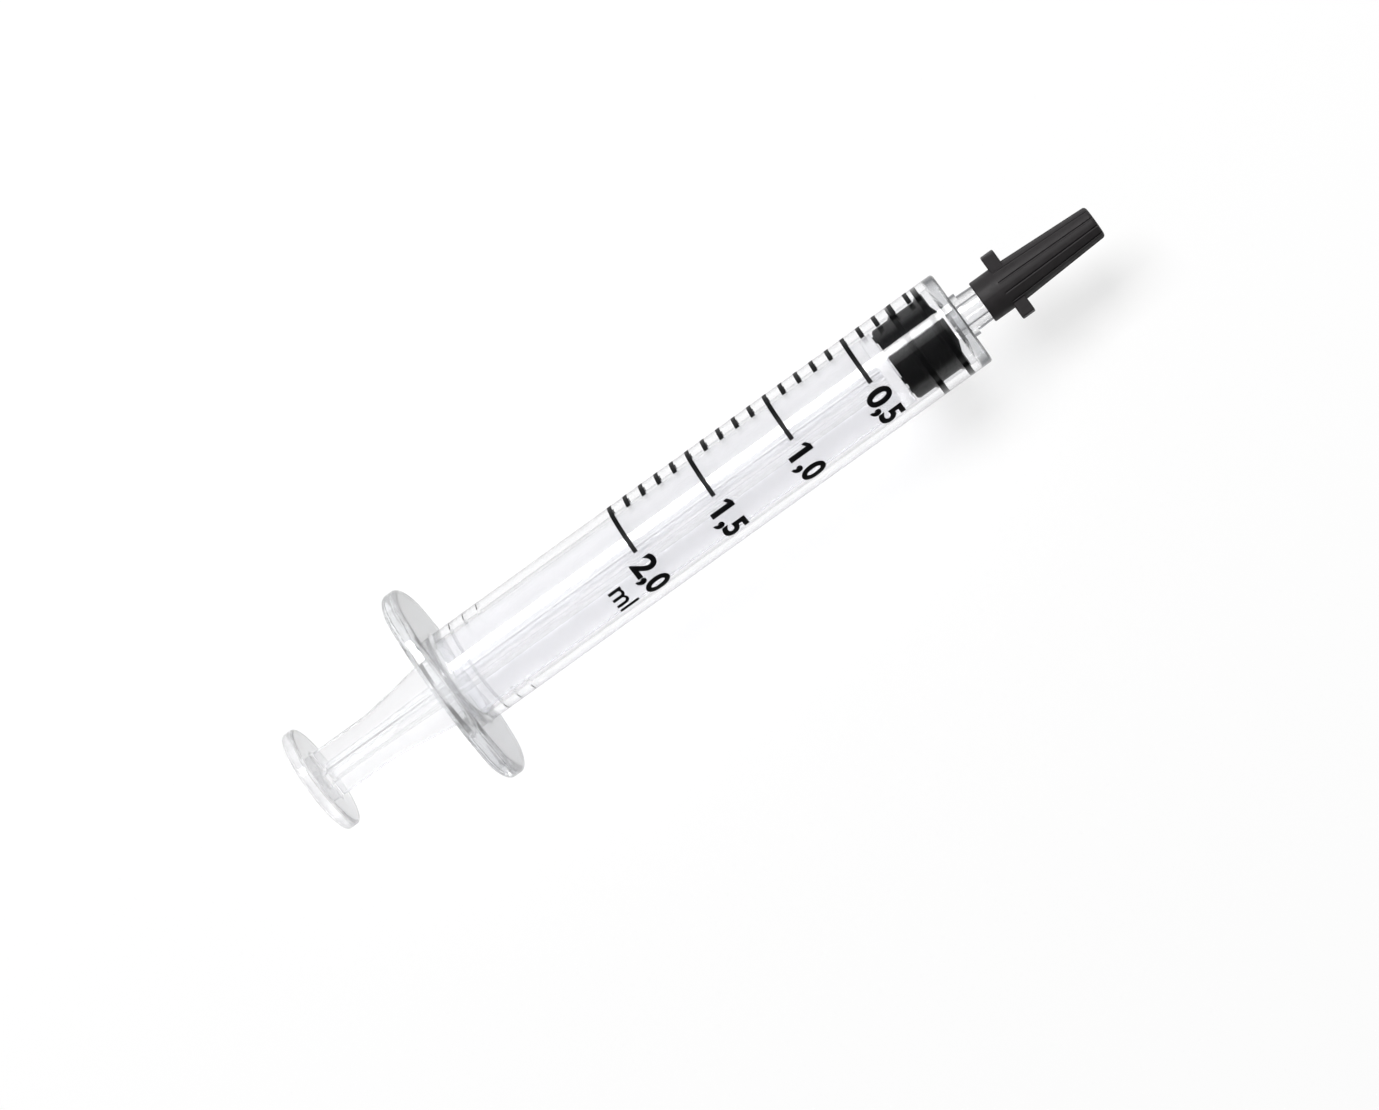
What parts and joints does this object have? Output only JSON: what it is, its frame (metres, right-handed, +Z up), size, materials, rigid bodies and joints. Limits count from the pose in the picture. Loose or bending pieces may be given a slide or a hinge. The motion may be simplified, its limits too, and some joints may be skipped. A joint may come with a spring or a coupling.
{
  "type": "luer lock syringe",
  "caption": "Clear hypodermic syringe with its plunger home: oval finger flange, printed scale, ribbed rod, black rubber stopper and a fluted black cap on its luer cone.",
  "frame": {"origin": "on the surface that the syringe lies on, under the middle of its box", "axes": "+X along the barrel's axis towards the luer tip, +Y along the finger flange's long way, +Z up"},
  "size_m": [0.0912, 0.0212, 0.0173],
  "materials": {
    "barrel_plastic": "clear polypropylene, glossy",
    "rod_plastic": "clear polypropylene, glossy",
    "stopper_rubber": "satin synthetic rubber",
    "cap_plastic": "satin",
    "ink": "printed ink"
  },
  "bodies": {
    "barrel": {"barrel": "barrel_plastic", "scale_marks": "ink"},
    "stopper": {"stopper": "stopper_rubber"},
    "rod": {"plunger_rod": "rod_plastic"},
    "cap": {"tip_cap": "cap_plastic"}
  },
  "joints": [
    {"name": "plunger_slide", "type": "slide", "parent": "barrel", "child": "stopper", "axis": [-1, 0, 0], "range_m": [0, 0.047]},
    {"name": "rod_turn", "type": "hinge", "parent": "stopper", "child": "rod", "pos_m": [0, 0, 0.00865], "axis": [1, 0, 0], "continuous": true},
    {"name": "cap_pull", "type": "slide", "parent": "barrel", "child": "cap", "axis": [1, 0, 0], "range_m": [0, 0.012]}
  ]
}
